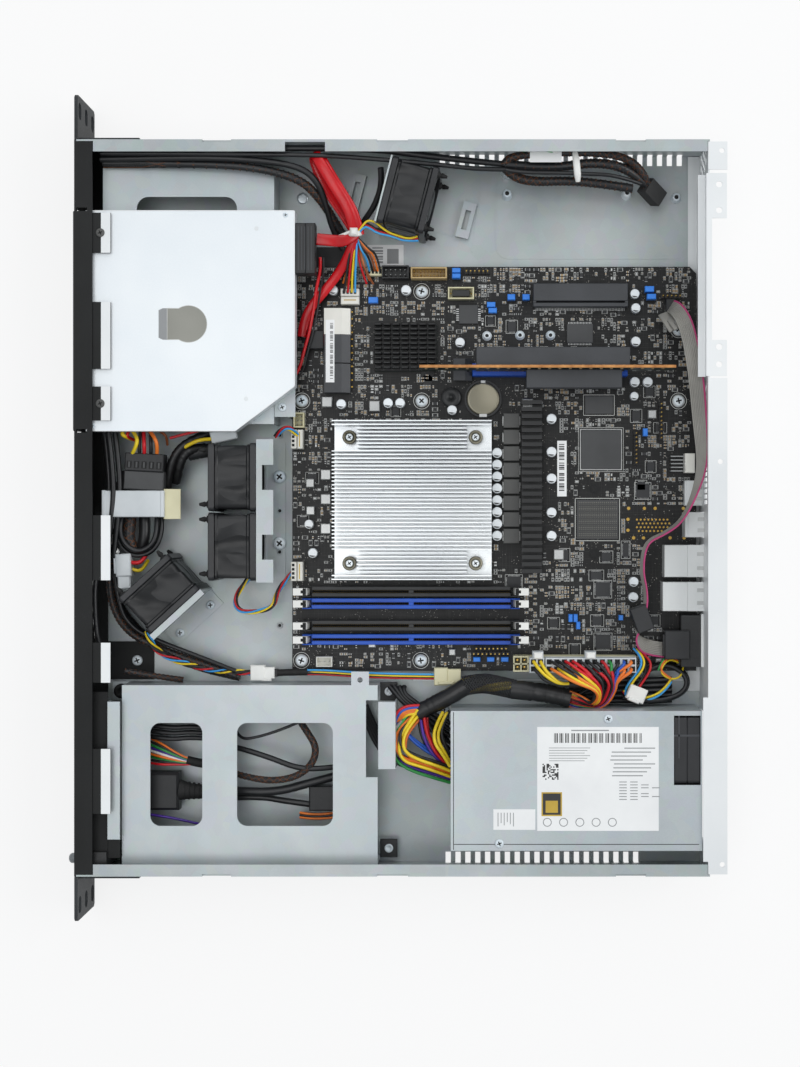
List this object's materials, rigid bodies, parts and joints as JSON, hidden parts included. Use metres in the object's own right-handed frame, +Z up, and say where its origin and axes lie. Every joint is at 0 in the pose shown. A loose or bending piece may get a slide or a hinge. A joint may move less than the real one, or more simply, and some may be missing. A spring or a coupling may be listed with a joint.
{
  "type": "rack server",
  "caption": "Short-depth 1U rack server with its cover off: board, heatsinks, memory sockets, fans, slim optical drive, drive cages, power supply and cables.",
  "frame": {"origin": "centre of the bounding box in X and Y, at the underside of the floor sheet", "axes": "+X to the right-hand side seen from the front, +Y to the rear, +Z up"},
  "size_m": [0.4826, 0.3862, 0.0436],
  "materials": {
    "bare_steel": "satin",
    "black_steel": "satin",
    "bright_steel": "gloss",
    "drive_steel": "satin",
    "port_steel": "satin",
    "aluminium": "satin",
    "blue_aluminium": "satin",
    "black_plastic": "matte",
    "fan_black": "matte",
    "blue_plastic": "satin",
    "latch_white": "satin",
    "green_board": "satin",
    "chip_black": "matte",
    "component_dark": "satin",
    "black_rubber": "matte",
    "button_grey": "satin",
    "cable_black": "matte",
    "cable_red": "satin",
    "cable_grey": "matte"
  },
  "bodies": {
    "chassis": {"chassis_tray": "bare_steel", "rear_panel": "bare_steel", "front_panel": "black_steel", "rack_ear_left": "black_steel", "rack_ear_right": "black_steel", "drive_cage_left": "bare_steel", "drive_cage_right": "bare_steel", "rubber_mounts": "black_rubber", "chassis_screws": "bright_steel", "board_standoffs": "bright_steel", "board_screws": "bright_steel", "odd_case": "drive_steel", "odd_adapter": "black_plastic", "inner_brackets": "bare_steel", "motherboard": "green_board", "cpu_heatsink": "aluminium", "vrm_heatsink": "blue_aluminium", "chipset_heatsink": "aluminium", "board_chips": "chip_black", "power_parts": "component_dark", "dimm_slots": "blue_plastic", "expansion_slots": "blue_plastic", "riser_card": "green_board", "riser_bracket": "bare_steel", "board_connectors": "black_plastic", "cmos_battery": "bright_steel", "rear_ports": "port_steel", "psu_case": "drive_steel", "psu_fan_frame": "fan_black", "psu_inlet": "black_plastic", "front_io_board": "green_board", "wiring_harness": "cable_black", "sata_cables": "cable_red", "io_ribbon": "cable_grey", "left_leads": "cable_black", "front_leads": "cable_black", "spare_power_cable": "cable_black", "spare_power_plug": "black_plastic", "fan_frame_1": "fan_black", "fan_frame_2": "fan_black", "fan_frame_3": "fan_black", "fan_frame_4": "fan_black"},
    "tray": {"odd_tray": "black_plastic"},
    "odd_eject_button": {"odd_eject_button": "black_plastic"},
    "slot_latch": {"slot_latch": "blue_plastic"},
    "psu_fan_rotor": {"psu_fan_rotor": "fan_black"},
    "power_button": {"power_button": "button_grey"},
    "reset_button": {"reset_button": "black_plastic"},
    "fan_rotor_1": {"fan_rotor_1": "fan_black"},
    "fan_rotor_2": {"fan_rotor_2": "fan_black"},
    "fan_rotor_3": {"fan_rotor_3": "fan_black"},
    "fan_rotor_4": {"fan_rotor_4": "fan_black"},
    "dimm_latch_1": {"dimm_latch_1": "latch_white"},
    "dimm_latch_2": {"dimm_latch_2": "latch_white"},
    "dimm_latch_3": {"dimm_latch_3": "latch_white"},
    "dimm_latch_4": {"dimm_latch_4": "latch_white"},
    "dimm_latch_5": {"dimm_latch_5": "latch_white"},
    "dimm_latch_6": {"dimm_latch_6": "latch_white"},
    "dimm_latch_7": {"dimm_latch_7": "latch_white"},
    "dimm_latch_8": {"dimm_latch_8": "latch_white"}
  },
  "joints": [
    {"name": "fan_1_spin", "type": "hinge", "parent": "chassis", "child": "fan_rotor_1", "pos_m": [-0.0182, -0.0964, 0.0213], "axis": [0, 1, 0], "continuous": true},
    {"name": "fan_2_spin", "type": "hinge", "parent": "chassis", "child": "fan_rotor_2", "pos_m": [0.0226, -0.0964, 0.0213], "axis": [0, 1, 0], "continuous": true},
    {"name": "fan_3_spin", "type": "hinge", "parent": "chassis", "child": "fan_rotor_3", "pos_m": [-0.1835, 0.0067, 0.0213], "axis": [0.2487, 0.9686, 0], "continuous": true},
    {"name": "fan_4_spin", "type": "hinge", "parent": "chassis", "child": "fan_rotor_4", "pos_m": [0.0504, -0.1393, 0.0213], "axis": [0.7385, 0.6743, 0], "continuous": true},
    {"name": "psu_fan_spin", "type": "hinge", "parent": "chassis", "child": "psu_fan_rotor", "pos_m": [0.1416, 0.1699, 0.0213], "axis": [0, 1, 0], "continuous": true},
    {"name": "odd_tray_slide", "type": "slide", "parent": "chassis", "child": "tray", "axis": [0, -1, 0], "range_m": [0, 0.118]},
    {"name": "eject_press", "type": "slide", "parent": "tray", "child": "odd_eject_button", "axis": [0, 1, 0], "range_m": [0, 0.0008], "stiffness_N_per_m": 800},
    {"name": "power_press", "type": "slide", "parent": "chassis", "child": "power_button", "axis": [0, 1, 0], "range_m": [0, 0.0015], "stiffness_N_per_m": 1000},
    {"name": "reset_press", "type": "slide", "parent": "chassis", "child": "reset_button", "axis": [0, 1, 0], "range_m": [0, 0.001], "stiffness_N_per_m": 600},
    {"name": "dimm_latch_1_swing", "type": "hinge", "parent": "chassis", "child": "dimm_latch_1", "pos_m": [0.0497, -0.0553, 0.0116], "axis": [1, 0, 0], "range_deg": [0, 30]},
    {"name": "dimm_latch_2_swing", "type": "hinge", "parent": "chassis", "child": "dimm_latch_2", "pos_m": [0.0497, 0.0703, 0.0116], "axis": [-1, 0, 0], "range_deg": [0, 30]},
    {"name": "dimm_latch_3_swing", "type": "hinge", "parent": "chassis", "child": "dimm_latch_3", "pos_m": [0.0569, -0.0553, 0.0116], "axis": [1, 0, 0], "range_deg": [0, 30]},
    {"name": "dimm_latch_4_swing", "type": "hinge", "parent": "chassis", "child": "dimm_latch_4", "pos_m": [0.0569, 0.0703, 0.0116], "axis": [-1, 0, 0], "range_deg": [0, 30]},
    {"name": "dimm_latch_5_swing", "type": "hinge", "parent": "chassis", "child": "dimm_latch_5", "pos_m": [0.0701, -0.0553, 0.0116], "axis": [1, 0, 0], "range_deg": [0, 30]},
    {"name": "dimm_latch_6_swing", "type": "hinge", "parent": "chassis", "child": "dimm_latch_6", "pos_m": [0.0701, 0.0703, 0.0116], "axis": [-1, 0, 0], "range_deg": [0, 30]},
    {"name": "dimm_latch_7_swing", "type": "hinge", "parent": "chassis", "child": "dimm_latch_7", "pos_m": [0.0784, -0.0553, 0.0116], "axis": [1, 0, 0], "range_deg": [0, 30]},
    {"name": "dimm_latch_8_swing", "type": "hinge", "parent": "chassis", "child": "dimm_latch_8", "pos_m": [0.0784, 0.0703, 0.0116], "axis": [-1, 0, 0], "range_deg": [0, 30]},
    {"name": "slot_latch_swing", "type": "hinge", "parent": "chassis", "child": "slot_latch", "pos_m": [-0.083, 0.0408, 0.0106], "axis": [1, 0, 0], "range_deg": [0, 25]}
  ]
}
